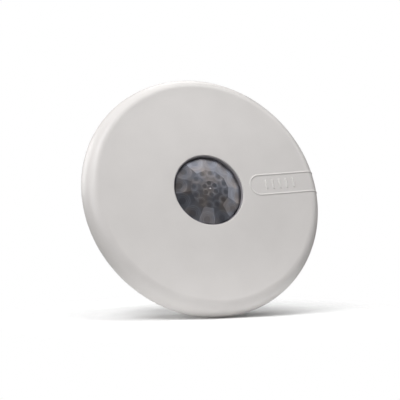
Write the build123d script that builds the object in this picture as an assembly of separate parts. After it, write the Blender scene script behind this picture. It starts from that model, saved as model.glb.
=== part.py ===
from build123d import *
import math
import os

# Ceiling-mount motion detector: a passive-infrared and microwave detector in a round case.
# Everything is drawn lying face up: +Z runs out of the face and z = 0 is the mounting face.
# Each piece is then turned 90 degrees about X for export, so that the case stands upright,
# its face looks along -Y and the mounting face lies in the plane y = 0. Millimetres throughout.

# --- Case ---
COVER_R = 74.5            # outer radius of the cover
RIM_Z = 29.7              # height of the cover's back rim above the mounting face
SKIRT_H = 0.6             # straight part of the rim before the shoulder starts
SHOULDER_W = 8.0          # radial size of the rounded shoulder
SHOULDER_H = 10.9         # height of the rounded shoulder
HOLE_PLANE_Z = 43.5       # height of the face at the lens hole
HOLE_R = 21.8             # radius of the lens hole
HOLE_CHAMFER = 0.4
WALL = 2.2                # wall of the mouldings
FACE_KNOTS = ((47.0, 0.45), (31.0, 0.88))  # radius, and share of the face's rise reached there

# --- Raised tongue on the face ---
TONGUE_HALF_W = 6.2
TONGUE_START_X = 27.2
BEAD_W = 0.9
BEAD_H = 0.35
RIB_COUNT = 5
RIB_FIRST_X = 38.0
RIB_PITCH = 4.6
RIB_HALF_W = 0.55
RIB_HALF_L = 2.9

# --- Inside of the cover ---
SEAL_RIB_R = (63.9, 66.1)
SEAL_RIB_Z = (38.3, 39.9)
RETAINER_BOSS_R = 3.2
RETAINER_BOSS_TOP_Z = 41.6
RETAINER_PILOT_R = 1.25
RETAINER_PILOT_TOP_Z = 40.6
STIFFENER_COUNT = 6
STIFFENER_R = 45.5
STIFFENER = (35.0, 1.4)   # length and thickness
STIFFENER_Z = (38.4, 40.2)

# --- Base: a flat back plate screwed into a conical ring ---
BACK_R = 56.0
BACK_EDGE = 1.2
PLATE_R = 53.6
PLATE_T = 2.4
LEDGE_R = 51.0
BOSS_R = 49.5
BOSS_TOP_Z = 14.0
BOSS_ANGLES = (0, 60, 120, 180, 240, 300)
BOWL_TOP_R = 64.2
FLANGE_R = 71.7
FLANGE_Z = 30.3
FLANGE_T = 2.0
SPIGOT_R = 66.0
SPIGOT_TOP_Z = 37.2
SPIGOT_WALL = 2.0
MOUNT_PCD_R = 42.0
MOUNT_HOLE_R = 2.25
MOUNT_ANGLES = (45, 135, 225, 315)
KNOCKOUT_SPOTS = ((0, 22), (-24, -10), (24, -10))
KNOCKOUT_R = 8.0
CABLE_Y = -41.0
CABLE_HOLE_R = 7.0
CABLE_BORE_R = 4.5
GROMMET_HEAD_R = 9.2
GROMMET_HEAD_T = 1.8

# --- Bayonet: lugs on the cover turn under hooks on the base ---
BAYONET_COUNT = 3
HOOK_SPAN = 16.0
HOOK_Z = 35.2
HOOK_R = 69.6
LUG_SPAN = 13.0
LUG_GAP = 1.5
LUG_Z = (32.9, 34.8)
LUG_R = (66.6, 72.6)

# --- Circuit board ---
PCB_R = 52.0
PCB_Z = 20.0
PCB_T = 1.6
BOARD_TOP = PCB_Z + PCB_T
POST_R = 46.0
POST_ANGLES = (20, 160, 200, 340)
POST_SIZE_R = 3.4
PILOT_R = 1.3
NOTCH_HALF_W = 10.0
NOTCH_Y = -36.0

# --- Detector optics ---
SHIELD_R = 14.0
SHIELD_TOP_Z = 34.5
PYRO_SEAT_Z = 26.0
PYRO_LEAD_R = 2.54
PYRO_LEAD_ANGLES = (45, 135, 270)
LENS_FACETS = 12
LENS_BASE_R = 20.5
LENS_BASE_Z = 41.0
LENS_MID_R = 12.0
LENS_MID_Z = 44.7
LENS_CAP_R = 5.0
LENS_TOP_Z = 45.8         # apex of the lens, the highest point of the device
LENS_T = 1.0
LENS_FLANGE_R = 25.5
LENS_FLANGE_Z = 37.0
LENS_FLANGE_T = 1.2
COLLAR_BOTTOM_Z = 39.0
RETAINER_Z = 35.2
RETAINER_BORE_R = 20.6
RETAINER_R = 26.5
RETAINER_EAR_R = 29.5
RETAINER_ANGLES = (90, 210, 330)

# --- Lock screw ---
LOCK_ANGLE = 40.0
LOCK_Z = 34.6
LOCK_R = 1.48
LOCK_CLEARANCE = 0.07
LOCK_TIP_R = 66.9         # the nylon tip's distance from the device's axis
LOCK_TIP_L = 1.0
LOCK_TIP_HALF_W = 1.1
LOCK_END_R = 73.2
LOCK_SOCKET_R = 0.87
LOCK_BOSS_R = 70.4
LOCK_BOSS = (5.2, 8.0, 32.8, 38.4)

# --- Tamper switches ---
TAMPER_ANGLE = 150.0
TAMPER_R = 44.0
TAMPER_TOP_Z = 32.0
TAMPER_TRAVEL = 1.5
COVER_TURN_DEG = 12.0
TAMPER_GAP = 0.2
RAMP_SPAN = (-13.0, 3.0)
RAMP_TOP_Z = 41.0
RAMP_HALF_W = 2.0
TAMPER_BODY = (12.8, 5.8)
TAMPER_BODY_H = 6.4
REAR_TAMPER_BODY_H = 4.4
TAMPER_BORE_R = 1.1
REAR_TAMPER = (14.0, 26.0)
REAR_GUIDE_TOP_Z = 10.4

# --- Adjusters ---
DIP_X = 33.0
DIP_COUNT = 6
DIP_PITCH = 2.54
DIP_TRAVEL = 2.0
TRIMMER_SPOTS = {"range_trimmer": (31.0, 16.0), "pulse_trimmer": (31.0, -16.0)}
TRIMMER_SIZE = 6.6
TRIMMER_H = 4.2
TRIMMER_SEAT_R = 2.6

# --- Terminals ---
TERMINAL_WAYS = 5
TERMINAL_PITCH = 5.0
TERMINAL_X = 22.5
TERMINAL_Y = -30.0
TERMINAL_W = 9.0
TERMINAL_H = 10.0
TERMINAL_WELL_R = 1.8
TERMINAL_MOUTH = (3.8, 6.0, 1.2, 5.6)   # width, depth, lowest and highest point above the board

# --- Microwave module: sizes are X, Y and height ---
RF_Y = 34.0
RF_CAN = (34.0, 22.0, 6.0)
RF_BOARD = (36.0, 26.0, 1.0)
PATCH = (7.4, 8.2)
PATCH_X = 9.0
PATCH_Y = 5.5
FOIL_T = 0.1
HEADER_PITCH = 2.54
HEADER_PINS = 6
HEADER_Y = RF_Y - 12.1

# --- Parts on the board: sizes are X, Y and height, spots are X and Y ---
RELAY = (20.0, 10.0, 10.4)
RELAY_SPOTS = ((-31.0, 6.6), (-31.0, -6.6))
CONTROLLER_SPOT = (-19.0, -18.5)
CONTROLLER_SIZE = 10.0
AMPLIFIER_SPOT = (19.0, -18.5)
AMPLIFIER_SIZE = (10.0, 4.0)
CAPACITOR_R = 4.0
CAPACITOR_H = 9.0
CAPACITOR_SPOTS = ((18.0, -40.5), (-18.0, -40.5), (-24.0, 20.0))
INDUCTOR_SPOT = (21.5, 11.0)
CRYSTAL = (10.2, 4.4, 3.5)
CRYSTAL_SPOT = (-2.0, -19.0)
CHIP = (2.0, 1.25, 0.6)
CHIP_PITCH = 3.0
CHIP_RIM_R = 47.5
LAMP_RING_R = 10.4
LAMP_R = 1.5
STATUS_ANGLES = (55, 90, 125)
EMITTER_ANGLES = (215, 325)

MIN_Z = (Align.CENTER, Align.CENTER, Align.MIN)


# --- Small helpers --------------------------------------------------------------------------------
def disc(radius, low, high, x=0.0, y=0.0):
    """A cylinder along Z between two heights."""
    return Pos(x, y, low) * Cylinder(radius, high - low, align=MIN_Z)


def ring(inner, outer, low, high, x=0.0, y=0.0):
    """A plain ring along Z between two heights."""
    return disc(outer, low, high, x, y) - disc(inner, low, high, x, y)


def block(size_x, size_y, low, high, x=0.0, y=0.0):
    """An upright block between two heights."""
    return Pos(x, y, low) * Box(size_x, size_y, high - low, align=MIN_Z)


def polar(radius, degrees):
    """A point in the plane from its radius and angle."""
    turn = math.radians(degrees)
    return radius * math.cos(turn), radius * math.sin(turn)


def around(shape, angles):
    """Copies of a shape turned about the device's axis."""
    return [Rot(0, 0, angle) * shape for angle in angles]


def spaced(count):
    """Angles of equal steps round the device."""
    return [index * 360 / count for index in range(count)]


def lathe(points):
    """A turned solid from a closed outline of (radius, height) points."""
    outline = Plane.XZ * Polyline(*points, close=True)
    return revolve(make_face(outline), Axis.Z)


def row_places(count, pitch):
    """Places of a row of things at equal steps, from the row's middle."""
    return [(index - (count - 1) / 2) * pitch for index in range(count)]


def sector(inner, outer, low, high, start, span):
    """A piece of a ring between two angles."""
    outer_arc = CenterArc((0, 0), outer, start, span)
    inner_arc = CenterArc((0, 0), inner, start, span)
    ends = [Line(inner_arc @ 0, outer_arc @ 0), Line(inner_arc @ 1, outer_arc @ 1)]
    flat = make_face(Curve() + [outer_arc, inner_arc] + ends)
    return Pos(0, 0, low) * extrude(flat, high - low)


def fuse(first, rest):
    """Joins a list of solids onto the first one."""
    for piece in rest:
        first = first + piece
    return first


def cut(first, rest):
    """Cuts a list of solids out of the first one."""
    for piece in rest:
        first = first - piece
    return first


def coil(radius, wire, low, high, turns, x, y):
    """A compression spring standing on its lower end."""
    start = (radius, 0, low)
    path = Pos(0, 0, low) * Helix(pitch=(high - low) / turns, height=high - low, radius=radius)
    section = Plane(origin=start, z_dir=path % 0) * Circle(wire)
    return Pos(x, y, 0) * sweep(section, path, is_frenet=True)


# --- Cover ----------------------------------------------------------------------------------------
def envelope(grow):
    """The space under the cover's outer surface, with the surface moved outwards by grow."""
    shoulder_z = RIM_Z + SKIRT_H
    centre_r = COVER_R - SHOULDER_W
    top_z = shoulder_z + SHOULDER_H + grow
    rise = HOLE_PLANE_Z + grow - top_z
    skirt = Line((COVER_R + grow, RIM_Z), (COVER_R + grow, shoulder_z))
    half_axes = (SHOULDER_W + grow, SHOULDER_H + grow)
    shoulder = EllipticalCenterArc((centre_r, shoulder_z), *half_axes, 0, arc_size=90)
    knots = [(radius, top_z + share * rise) for radius, share in FACE_KNOTS]
    face = Spline((centre_r, top_z), *knots, (HOLE_R, top_z + rise), tangents=[(-1, 0.02), (-1, 0.0)])
    middle = Line((HOLE_R, top_z + rise), (0, top_z + rise))
    axis = Line((0, top_z + rise), (0, RIM_Z))
    bottom = Line((0, RIM_Z), (COVER_R + grow, RIM_Z))
    return revolve(make_face(Plane.XZ * (Curve() + [skirt, shoulder, face, middle, axis, bottom])), Axis.Z)


def tongue(half_width):
    """A column with the tongue's outline: round inner end, straight sides out past the rim."""
    centre_x = TONGUE_START_X + TONGUE_HALF_W
    length = COVER_R + 2.0 - centre_x
    sides = Pos(centre_x + length / 2, 0, RIM_Z) * Box(length, 2 * half_width, 20, align=MIN_Z)
    return sides + disc(half_width, RIM_Z, RIM_Z + 20, centre_x)


def raised_marks(outer):
    """The bead round the tongue and the row of short ribs inside it, standing proud of the face."""
    skin = envelope(BEAD_H) - outer
    bead = tongue(TONGUE_HALF_W + BEAD_W / 2) - tongue(TONGUE_HALF_W - BEAD_W / 2)
    marks = bead
    for index in range(RIB_COUNT):
        marks = marks + block(2 * RIB_HALF_W, 2 * RIB_HALF_L, 40.0, 46.0, RIB_FIRST_X + index * RIB_PITCH)
    return skin & marks


def tamper_ramp():
    """The cam under the cover that presses the tamper plunger as the cover turns."""
    slope = TAMPER_TRAVEL / (math.radians(COVER_TURN_DEG) * TAMPER_R)
    start, end = RAMP_SPAN
    low = TAMPER_TOP_Z + TAMPER_GAP
    under = [(start, low + slope * start), (end, low + slope * end)]
    outline = Polyline(*under, (end, RAMP_TOP_Z), (start, RAMP_TOP_Z), close=True)
    ramp = extrude(Plane.YZ * make_face(outline), RAMP_HALF_W, both=True)
    return Rot(0, 0, TAMPER_ANGLE) * Pos(TAMPER_R, 0, 0) * ramp


def front_cover():
    outer = envelope(0)
    hollow = envelope(-WALL)
    hollow = hollow + disc(COVER_R - WALL, RIM_Z - 1, RIM_Z + SKIRT_H)
    cover = outer - hollow + raised_marks(outer)
    collar = ring(HOLE_R, HOLE_R + WALL, COLLAR_BOTTOM_Z, HOLE_PLANE_Z - 1)
    boss = disc(RETAINER_BOSS_R, LENS_FLANGE_Z, RETAINER_BOSS_TOP_Z, RETAINER_EAR_R)
    seal_rib = ring(*SEAL_RIB_R, *SEAL_RIB_Z)
    lug = sector(*LUG_R, *LUG_Z, -LUG_GAP - LUG_SPAN, LUG_SPAN)
    lock_boss = Rot(0, 0, LOCK_ANGLE) * Pos(LOCK_BOSS_R, 0, 0) * block(*LOCK_BOSS)
    stiffener = block(*STIFFENER, *STIFFENER_Z, STIFFENER_R)
    inside = [collar, seal_rib, lock_boss, tamper_ramp()] + around(boss, RETAINER_ANGLES)
    inside += around(lug, spaced(BAYONET_COUNT)) + around(stiffener, spaced(STIFFENER_COUNT))
    cover = fuse(cover, [piece & outer for piece in inside])
    hole = disc(HOLE_R, RIM_Z, HOLE_PLANE_Z + 1)
    bevel_top = HOLE_PLANE_Z + 1
    bevel = lathe([(0, HOLE_PLANE_Z - HOLE_CHAMFER), (HOLE_R, HOLE_PLANE_Z - HOLE_CHAMFER),
                   (HOLE_R + HOLE_CHAMFER + 1, bevel_top), (0, bevel_top)])
    pilot = disc(RETAINER_PILOT_R, LENS_FLANGE_Z - 1, RETAINER_PILOT_TOP_Z, RETAINER_EAR_R)
    lock_hole = radial_pin(LOCK_R + LOCK_CLEARANCE, LOCK_TIP_R - 1, COVER_R + 1)
    return cut(cover, [hole, bevel, lock_hole] + around(pilot, RETAINER_ANGLES))


def radial_pin(radius, inner, outer):
    """A cylinder lying along the lock screw's line."""
    pin = Cylinder(radius, outer - inner, align=MIN_Z)
    return Rot(0, 0, LOCK_ANGLE) * Pos(inner, 0, LOCK_Z) * Rot(0, 90, 0) * pin


def lock_screw():
    body = radial_pin(LOCK_R, LOCK_TIP_R + LOCK_TIP_L, LOCK_END_R)
    socket = extrude(RegularPolygon(LOCK_SOCKET_R, 6), 2.2)
    return body - Rot(0, 0, LOCK_ANGLE) * Pos(LOCK_END_R - 2.0, 0, LOCK_Z) * Rot(0, 90, 0) * socket


def lock_tip():
    return radial_pin(LOCK_TIP_HALF_W, LOCK_TIP_R, LOCK_TIP_R + LOCK_TIP_L)


def cover_seal():
    return ring(SEAL_RIB_R[0] + 0.25, SEAL_RIB_R[1] - 0.25, SPIGOT_TOP_Z + 0.05, SEAL_RIB_Z[0] - 0.05)


# --- Lens -----------------------------------------------------------------------------------------
def frustum(radius_low, radius_high, low, high):
    """A straight-sided frustum on regular polygons."""
    bottom = Pos(0, 0, low) * RegularPolygon(radius_low, LENS_FACETS)
    top = Pos(0, 0, high) * RegularPolygon(radius_high, LENS_FACETS)
    return loft([bottom, top], ruled=True)


def lens_bulk(drop):
    """The faceted dome, moved down by drop and drawn in to match."""
    base_z, mid_z, top_z = LENS_BASE_Z - drop, LENS_MID_Z - drop, LENS_TOP_Z - drop
    lower = frustum(LENS_BASE_R - drop, LENS_MID_R - drop / 2, base_z, mid_z)
    upper = frustum(LENS_MID_R - drop / 2, LENS_CAP_R - drop / 4, mid_z, top_z)
    stem = extrude(RegularPolygon(LENS_BASE_R - drop, LENS_FACETS), LENS_BASE_Z - drop - LENS_FLANGE_Z)
    return lower + upper + Pos(0, 0, LENS_FLANGE_Z) * stem


def fresnel_lens():
    flange = disc(LENS_FLANGE_R, LENS_FLANGE_Z, LENS_FLANGE_Z + LENS_FLANGE_T)
    return lens_bulk(0) + flange - lens_bulk(LENS_T)


def lens_bezel():
    outer, inner = HOLE_R - 0.05, LENS_BASE_R + 0.15
    low, top = LENS_FLANGE_Z + LENS_FLANGE_T, HOLE_PLANE_Z - 0.3
    return lathe([(inner, low), (outer, low), (outer, top - 0.2), (outer - 0.4, top), (inner, top - 0.6)])


def lens_gasket():
    return ring(HOLE_R + 0.5, LENS_FLANGE_R, LENS_FLANGE_Z + LENS_FLANGE_T, COLLAR_BOTTOM_Z)


def lens_retainer():
    body = ring(RETAINER_BORE_R, RETAINER_R, RETAINER_Z, LENS_FLANGE_Z)
    ear = disc(3.4, RETAINER_Z, LENS_FLANGE_Z, RETAINER_EAR_R)
    ear = ear + block(5, 6.8, RETAINER_Z, LENS_FLANGE_Z, RETAINER_EAR_R - 2.5)
    hole = disc(1.4, RETAINER_Z, LENS_FLANGE_Z, RETAINER_EAR_R)
    body = fuse(body, around(ear, RETAINER_ANGLES)) - disc(RETAINER_BORE_R, RETAINER_Z, LENS_FLANGE_Z)
    return cut(body, around(hole, RETAINER_ANGLES))


def pan_screw(head_r, head_h, shank_r, shank_l):
    """A cross-head screw, its head's underside at z = 0 and its shank pointing down."""
    head = fillet(disc(head_r, 0, head_h).edges().group_by(Axis.Z)[-1], head_h * 0.45)
    cross = block(head_r * 1.1, 0.5, head_h * 0.5, head_h) + block(0.5, head_r * 1.1, head_h * 0.5, head_h)
    return head + disc(shank_r, -shank_l, 0) - cross


def retainer_screws():
    screw = Rot(180, 0, 0) * pan_screw(2.6, 1.7, 1.15, 4.6)
    return [Pos(*polar(RETAINER_EAR_R, angle), RETAINER_Z) * screw for angle in RETAINER_ANGLES]


# --- Base -----------------------------------------------------------------------------------------
def bayonet_hook():
    roof = sector(SPIGOT_R - 0.5, HOOK_R, HOOK_Z, SPIGOT_TOP_Z, 0, HOOK_SPAN)
    stop = sector(SPIGOT_R - 0.5, HOOK_R, FLANGE_Z + FLANGE_T, SPIGOT_TOP_Z, HOOK_SPAN - 2.5, 2.5)
    return roof + stop


def base_ring():
    """The bowl's conical wall with its flange, spigot, bayonet hooks and the plate's screw bosses."""
    flange_top = FLANGE_Z + FLANGE_T
    outline = [(PLATE_R + 0.05, 0), (BACK_R - BACK_EDGE, 0), (BACK_R, BACK_EDGE), (BOWL_TOP_R, FLANGE_Z),
               (FLANGE_R, FLANGE_Z), (FLANGE_R, flange_top), (SPIGOT_R, flange_top), (SPIGOT_R, SPIGOT_TOP_Z),
               (SPIGOT_R - SPIGOT_WALL, SPIGOT_TOP_Z), (SPIGOT_R - SPIGOT_WALL, flange_top + 1),
               (BOWL_TOP_R - WALL, FLANGE_Z),
               (BACK_R - WALL + 0.6, PLATE_T + 1.6), (LEDGE_R, PLATE_T + 1.6), (LEDGE_R, PLATE_T),
               (PLATE_R + 0.05, PLATE_T)]
    hooks = around(bayonet_hook(), spaced(BAYONET_COUNT))
    boss = disc(3.2, PLATE_T, BOSS_TOP_Z, BOSS_R) + block(4.4, 6.4, PLATE_T, BOSS_TOP_Z, BOSS_R + 2.2)
    pilot = disc(PILOT_R, PLATE_T, BOSS_TOP_Z - 1, BOSS_R)
    return cut(fuse(lathe(outline), hooks + around(boss, BOSS_ANGLES)), around(pilot, BOSS_ANGLES))


def countersink(x, y, depth):
    """A flat-head screw's seat in the back face."""
    return Pos(x, y, 0) * lathe([(0, 0), (3.1, 0), (1.6, 1.6), (1.6, depth), (0, depth)])


def base_plate():
    """The flat back of the base, with the screw holes, the board's posts and the rear plunger's guide."""
    plate = disc(PLATE_R, 0, PLATE_T)
    collars = [disc(5.0, PLATE_T, PLATE_T + 2.0, *polar(MOUNT_PCD_R, angle)) for angle in MOUNT_ANGLES]
    posts = [disc(POST_SIZE_R, PLATE_T, PCB_Z, *polar(POST_R, angle)) for angle in POST_ANGLES]
    plate = fuse(plate, collars + posts + [disc(3.6, PLATE_T, REAR_GUIDE_TOP_Z, *REAR_TAMPER)])
    cuts = [disc(MOUNT_HOLE_R, 0, PLATE_T + 2.0, *polar(MOUNT_PCD_R, angle)) for angle in MOUNT_ANGLES]
    cuts += [disc(PILOT_R, 8.0, PCB_Z, *polar(POST_R, angle)) for angle in POST_ANGLES]
    cuts += [countersink(*polar(BOSS_R, angle), PLATE_T) for angle in BOSS_ANGLES]
    cuts += [ring(KNOCKOUT_R, KNOCKOUT_R + 0.8, 0, 1.4, *spot) for spot in KNOCKOUT_SPOTS]
    cuts += [disc(CABLE_HOLE_R, 0, PLATE_T, 0, CABLE_Y), disc(2.15, 0, REAR_GUIDE_TOP_Z, *REAR_TAMPER)]
    return cut(plate, cuts)


def plate_screws():
    """Flat-head screws that hold the plate in the ring, their heads just under the back face."""
    screw = lathe([(0, 0.15), (2.9, 0.15), (1.2, 1.75), (1.2, BOSS_TOP_Z - 2.0), (0, BOSS_TOP_Z - 2.0)])
    screw = screw - block(3.0, 0.5, 0, 0.9) - block(0.5, 3.0, 0, 0.9)
    return [Pos(*polar(BOSS_R, angle), 0) * screw for angle in BOSS_ANGLES]


def cable_grommet():
    neck_r, top = CABLE_HOLE_R - 0.05, PLATE_T + GROMMET_HEAD_T
    outline = [(CABLE_BORE_R, 0), (neck_r, 0), (neck_r, PLATE_T), (GROMMET_HEAD_R, PLATE_T),
               (GROMMET_HEAD_R - 0.6, top), (CABLE_BORE_R, top)]
    return Pos(0, CABLE_Y, 0) * lathe(outline)


# --- Circuit board --------------------------------------------------------------------------------
def main_pcb():
    board = disc(PCB_R, PCB_Z, BOARD_TOP)
    holes = [disc(1.6, PCB_Z, BOARD_TOP, *polar(POST_R, angle)) for angle in POST_ANGLES]
    holes += [disc(0.4, PCB_Z, BOARD_TOP, *polar(PYRO_LEAD_R, angle)) for angle in PYRO_LEAD_ANGLES]
    notch = block(2 * NOTCH_HALF_W, 20, PCB_Z, BOARD_TOP, 0, NOTCH_Y - 10)
    return cut(board, holes + [notch])


def pcb_screws():
    screw = pan_screw(2.8, 1.9, 1.2, 9.0)
    return [Pos(*polar(POST_R, angle), BOARD_TOP) * screw for angle in POST_ANGLES]


def pyro_holder():
    foot = block(15, 15, BOARD_TOP, BOARD_TOP + 1.6)
    foot = foot & disc(8.3, BOARD_TOP, BOARD_TOP + 1.6)
    return foot + disc(6.0, BOARD_TOP, PYRO_SEAT_Z) - disc(4.0, BOARD_TOP, PYRO_SEAT_Z)


def pyro_sensor():
    flange = disc(4.6, PYRO_SEAT_Z, PYRO_SEAT_Z + 0.6)
    can = disc(4.1, PYRO_SEAT_Z, PYRO_SEAT_Z + 3.9)
    can = fillet(can.edges().group_by(Axis.Z)[-1], 0.5)
    return flange + can - block(4.2, 3.2, PYRO_SEAT_Z + 3.4, PYRO_SEAT_Z + 3.9)


def pyro_window():
    return block(4.1, 3.1, PYRO_SEAT_Z + 3.4, PYRO_SEAT_Z + 4.0)


def pyro_leads():
    low = PCB_Z - 1.2
    return [disc(0.23, low, PYRO_SEAT_Z, *polar(PYRO_LEAD_R, angle)) for angle in PYRO_LEAD_ANGLES]


def light_shield():
    return lathe([(12.6, BOARD_TOP), (SHIELD_R, BOARD_TOP), (SHIELD_R, SHIELD_TOP_Z), (13.2, SHIELD_TOP_Z)])


def domed_lamp(radius, height):
    """A small lamp with a round nose, standing on z = 0."""
    body = disc(radius, 0, height - radius)
    return body + Pos(0, 0, height - radius) * Sphere(radius) + disc(radius + 0.35, 0, 0.8)


def status_leds():
    lamp = Pos(LAMP_RING_R, 0, BOARD_TOP) * domed_lamp(LAMP_R, 5.2)
    return around(lamp, STATUS_ANGLES)


def antimask_emitters():
    lamp = Pos(LAMP_RING_R, 0, BOARD_TOP) * domed_lamp(LAMP_R, 6.0)
    return around(lamp, EMITTER_ANGLES)


# --- Microwave module -----------------------------------------------------------------------------
def rf_shield_can():
    low, high = BOARD_TOP, BOARD_TOP + RF_CAN[2]
    can = block(RF_CAN[0], RF_CAN[1], low, high, 0, RF_Y)
    can = fillet(can.edges().filter_by(Axis.Z), 1.0)
    return can - block(RF_CAN[0] - 1, RF_CAN[1] - 1, low, high - 0.5, 0, RF_Y)


def antenna_board():
    low = BOARD_TOP + RF_CAN[2]
    board = block(RF_BOARD[0], RF_BOARD[1], low, low + RF_BOARD[2], 0, RF_Y)
    return fillet(board.edges().filter_by(Axis.Z), 1.5)


def antenna_patches():
    low = BOARD_TOP + RF_CAN[2] + RF_BOARD[2]
    foil = (low, low + FOIL_T)
    feed = block(2 * PATCH_X - 0.8, 0.8, *foil, 0, RF_Y)
    for x in (-PATCH_X, PATCH_X):
        feed = feed + block(0.8, 2.8, *foil, x, RF_Y)
        for y in (-PATCH_Y, PATCH_Y):
            feed = feed + block(*PATCH, *foil, x, RF_Y + y)
    return feed


def rf_header():
    strip = block(HEADER_PINS * HEADER_PITCH - 0.24, 1.6, BOARD_TOP, BOARD_TOP + 2.5, 0, HEADER_Y)
    pin = block(0.6, 0.6, BOARD_TOP, BOARD_TOP + RF_CAN[2], 0, HEADER_Y)
    return fuse(strip, [Pos(x, 0, 0) * pin for x in row_places(HEADER_PINS, HEADER_PITCH)])


# --- Terminals ------------------------------------------------------------------------------------
def terminal_block(x):
    low, high = BOARD_TOP, BOARD_TOP + TERMINAL_H
    body = block(TERMINAL_WAYS * TERMINAL_PITCH, TERMINAL_W, low, high, x, TERMINAL_Y)
    body = chamfer(body.edges().filter_by(Axis.X).group_by(Axis.Z)[-1], 1.2)
    front = TERMINAL_Y - TERMINAL_W / 2
    width, depth, mouth_low, mouth_top = TERMINAL_MOUTH
    for offset in row_places(TERMINAL_WAYS, TERMINAL_PITCH):
        body = body - block(width, depth, low + mouth_low, low + mouth_top, x + offset, front + depth / 2)
        body = body - disc(TERMINAL_WELL_R, low + mouth_top, high, x + offset, TERMINAL_Y)
    return body


def terminal_centres():
    """Each way's X on both blocks."""
    offsets = row_places(TERMINAL_WAYS, TERMINAL_PITCH)
    return [x + offset for x in (-TERMINAL_X, TERMINAL_X) for offset in offsets]


def terminal_screws():
    low, top = BOARD_TOP + 5.8, BOARD_TOP + 9.2
    screw = disc(TERMINAL_WELL_R - 0.1, low, top) - block(3.4, 0.6, top - 0.8, top)
    return [Pos(x, TERMINAL_Y, 0) * screw for x in terminal_centres()]


def wire_clamps():
    y = TERMINAL_Y - TERMINAL_W / 2 + 3.4
    low, top = BOARD_TOP + 1.3, BOARD_TOP + 5.5
    cage = block(3.6, 5.0, low, top, 0, y) - block(2.6, 5.0, low + 0.5, top - 0.5, 0, y)
    return [Pos(x, 0, 0) * cage for x in terminal_centres()]


# --- Board parts ----------------------------------------------------------------------------------
def relays():
    body = block(RELAY[0], RELAY[1], BOARD_TOP, BOARD_TOP + RELAY[2])
    body = fillet(body.edges().group_by(Axis.Z)[-1], 0.5)
    return [Pos(*spot, 0) * body for spot in RELAY_SPOTS]


def dip_switch_body():
    body = block(9.6, DIP_COUNT * DIP_PITCH + 2.0, BOARD_TOP, BOARD_TOP + 4.4, DIP_X)
    slot = block(4.6, 1.7, BOARD_TOP + 2.4, BOARD_TOP + 4.4, DIP_X)
    return cut(body, [Pos(0, y, 0) * slot for y in row_places(DIP_COUNT, DIP_PITCH)])


def dip_slider(y):
    x = DIP_X - DIP_TRAVEL / 2
    foot = block(2.4, 1.6, BOARD_TOP + 2.45, BOARD_TOP + 4.2, x, y)
    return foot + block(1.2, 1.2, BOARD_TOP + 4.2, BOARD_TOP + 5.0, x, y)


def trimmer_bodies():
    top = BOARD_TOP + TRIMMER_H
    body = block(TRIMMER_SIZE, TRIMMER_SIZE, BOARD_TOP, top) - disc(TRIMMER_SEAT_R, top - 2.0, top)
    return [Pos(*spot, 0) * body for spot in TRIMMER_SPOTS.values()]


def trimmer_rotor(x, y):
    top = BOARD_TOP + TRIMMER_H + 0.4
    rotor = disc(TRIMMER_SEAT_R - 0.1, top - 2.35, top, x, y)
    return rotor - block(3.6, 0.7, top - 0.9, top, x, y) - block(0.7, 2.2, top - 0.9, top, x, y)


def gull_leads(count, pitch, body_half, reach):
    """Two rows of chip leads along X, on both Y sides of a body centred on the origin."""
    lead = block(0.35, reach, 0, 0.2) + Pos(0, -(reach / 2) + 0.15, 0) * block(0.35, 0.3, 0, 0.9)
    row = [Pos(x, body_half + reach / 2, 0) * lead for x in row_places(count, pitch)]
    return row + [Rot(0, 0, 180) * lead for lead in row]


def microcontroller():
    body = block(CONTROLLER_SIZE, CONTROLLER_SIZE, 0.1, 1.5) - disc(0.7, 1.35, 1.5, -3.8, 3.8)
    sides = gull_leads(11, 0.8, CONTROLLER_SIZE / 2, 1.0)
    leads = sides + [Rot(0, 0, 90) * lead for lead in sides]
    return Pos(*CONTROLLER_SPOT, BOARD_TOP) * fuse(body, leads)


def amplifier_chip():
    body = block(*AMPLIFIER_SIZE, 0.1, 1.6) - disc(0.6, 1.45, 1.6, -4.0, -1.0)
    return Pos(*AMPLIFIER_SPOT, BOARD_TOP) * fuse(body, gull_leads(8, 1.27, AMPLIFIER_SIZE[1] / 2, 1.0))


def capacitors():
    can = disc(CAPACITOR_R, BOARD_TOP, BOARD_TOP + CAPACITOR_H)
    can = fillet(can.edges().group_by(Axis.Z)[-1], 0.6)
    can = can - ring(CAPACITOR_R - 0.25, CAPACITOR_R, BOARD_TOP + 1.4, BOARD_TOP + 2.0)
    return [Pos(*spot, 0) * can for spot in CAPACITOR_SPOTS]


def inductor():
    outline = [(0, 0), (3.6, 0), (3.6, 0.9), (2.9, 1.2), (2.9, 3.6), (3.6, 3.9), (3.6, 4.8), (0, 4.8)]
    return Pos(*INDUCTOR_SPOT, BOARD_TOP) * lathe(outline)


def crystal_can():
    can = block(CRYSTAL[0], CRYSTAL[1], BOARD_TOP, BOARD_TOP + CRYSTAL[2], *CRYSTAL_SPOT)
    return fillet(can.edges().filter_by(Axis.Z), CRYSTAL[1] / 2 - 0.1)


def chip_parts():
    """The small resistors and ceramic capacitors, in rows between the larger parts."""
    chip = block(CHIP[0], CHIP[1], BOARD_TOP, BOARD_TOP + CHIP[2])
    spots = [(18.5 + x, -23.4) for x in row_places(8, CHIP_PITCH)]
    spots += [(x, y) for x in row_places(5, CHIP_PITCH) for y in (-26.0, -30.0, -34.0)]
    rim_angles = list(range(32, 60, 5)) + list(range(122, 138, 5))
    return [Pos(*spot, 0) * chip for spot in spots] + around(Pos(CHIP_RIM_R, 0, 0) * chip, rim_angles)


# --- Tamper switches ------------------------------------------------------------------------------
def tamper_switch():
    top = BOARD_TOP + TAMPER_BODY_H
    body = block(*TAMPER_BODY, BOARD_TOP, top) - disc(TAMPER_BORE_R, BOARD_TOP + 3.0, top)
    return Rot(0, 0, TAMPER_ANGLE) * Pos(TAMPER_R, 0, 0) * body


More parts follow.
